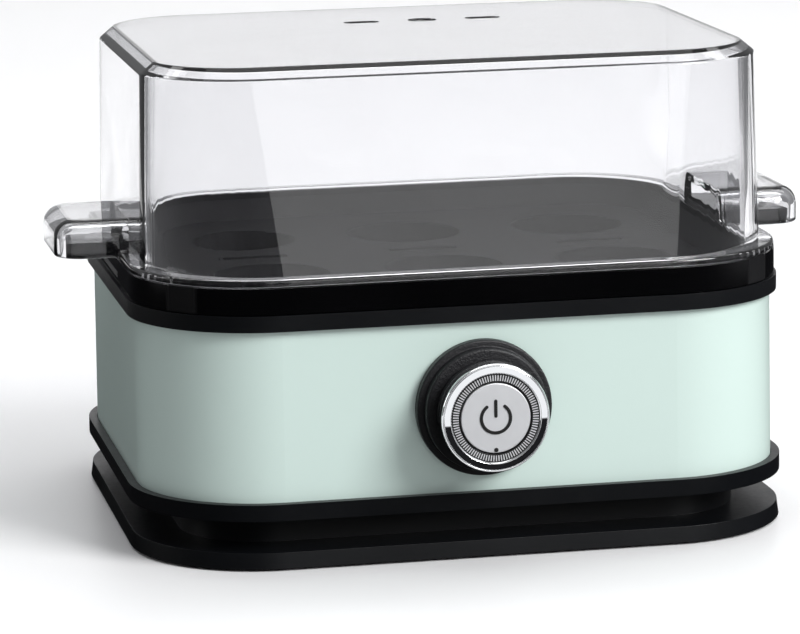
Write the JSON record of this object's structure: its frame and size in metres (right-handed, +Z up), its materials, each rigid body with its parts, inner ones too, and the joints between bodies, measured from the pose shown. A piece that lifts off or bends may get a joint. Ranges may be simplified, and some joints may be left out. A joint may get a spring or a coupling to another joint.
{
  "type": "egg cooker",
  "caption": "Rectangular countertop egg cooker: mint shell on a cord-wrap base, ringed dial with power button, lift-out egg tray with ears, clear lift-off lid with hooded handles.",
  "frame": {"origin": "middle of the shell's footprint, on the plane that the rubber feet stand on", "axes": "+X to the right along the long side, -Y out of the front face with the dial, +Z up"},
  "size_m": [0.221, 0.1785, 0.1383],
  "materials": {
    "satin_black": "satin moulded black",
    "gloss_black": "gloss black",
    "mint_paint": "satin mint green paint on steel",
    "clear_plastic": "clear polycarbonate",
    "foot_rubber": "matt rubber",
    "silicone": "silicone",
    "plate_steel": "stainless basin",
    "zinc_steel": "zinc-plated steel",
    "heater_sheath": "heat-darkened sheath",
    "bright_chrome": "polished chrome plating",
    "knob_black": "finely grained black",
    "scale_black": "black with silver scale lines",
    "silver_disc": "circular brushed silver",
    "icon_black": "printed symbol",
    "spring_steel": "drawn wire",
    "board_green": "solder-masked board",
    "part_black": "moulded component",
    "part_blue": "moulded component",
    "part_yellow": "moulded component",
    "block_white": "heat-resistant moulding",
    "sleeve_white": "braided glass sleeve",
    "wire_brown": "insulation",
    "wire_green": "insulation",
    "wire_blue": "insulation",
    "wire_white": "heat-resistant insulation"
  },
  "bodies": {
    "housing": {"base_plate": "satin_black", "rubber_feet": "foot_rubber", "base_screws": "zinc_steel", "tie_screws": "zinc_steel", "cord_gland": "satin_black", "chassis": "satin_black", "body_shell": "mint_paint", "upper_ring": "satin_black", "plate_gasket": "silicone", "heating_plate": "plate_steel", "heater_element": "heater_sheath", "heater_clamp": "zinc_steel", "plate_studs": "zinc_steel", "stud_nuts": "zinc_steel", "heat_shield": "zinc_steel", "thermostat": "zinc_steel", "thermostat_bridge": "zinc_steel", "thermal_fuse": "zinc_steel", "fuse_sleeve": "sleeve_white", "fuse_strap": "zinc_steel", "control_board": "board_green", "board_screws": "zinc_steel", "relay": "part_blue", "suppression_capacitor": "part_yellow", "buzzer": "part_black", "terminal_block": "block_white", "live_wire": "wire_brown", "earth_wire": "wire_green", "neutral_wire": "wire_blue", "heater_wire_left": "wire_white", "heater_wire_right": "wire_white", "knob_bezel": "knob_black", "bezel_nut": "part_black", "dial_encoder": "part_black", "button_guide": "part_black", "power_switch": "part_black"},
    "dial": {"dial_barrel": "knob_black", "dial_chrome_ring": "bright_chrome", "dial_tick_ring": "scale_black", "encoder_rotor": "part_black", "dial_retainer": "spring_steel"},
    "power_button": {"power_button": "silver_disc", "button_plunger": "part_black", "power_icon": "icon_black", "button_spring": "spring_steel"},
    "egg_tray": {"egg_tray": "gloss_black"},
    "lid": {"lid": "clear_plastic"}
  },
  "joints": [
    {"name": "dial_turn", "type": "hinge", "parent": "housing", "child": "dial", "pos_m": [0, -0.085, 0.043], "axis": [0, 1, 0], "range_deg": [0, 300]},
    {"name": "power_press", "type": "slide", "parent": "housing", "child": "power_button", "axis": [0, 1, 0], "range_m": [0, 0.0015], "stiffness_N_per_m": 1000, "deforming": ["button_spring"]},
    {"name": "tray_lift", "type": "slide", "parent": "housing", "child": "egg_tray", "axis": [0, 0, 1], "range_m": [0, 0.06]},
    {"name": "lid_lift", "type": "slide", "parent": "egg_tray", "child": "lid", "axis": [0, 0, 1], "range_m": [0, 0.08]}
  ]
}
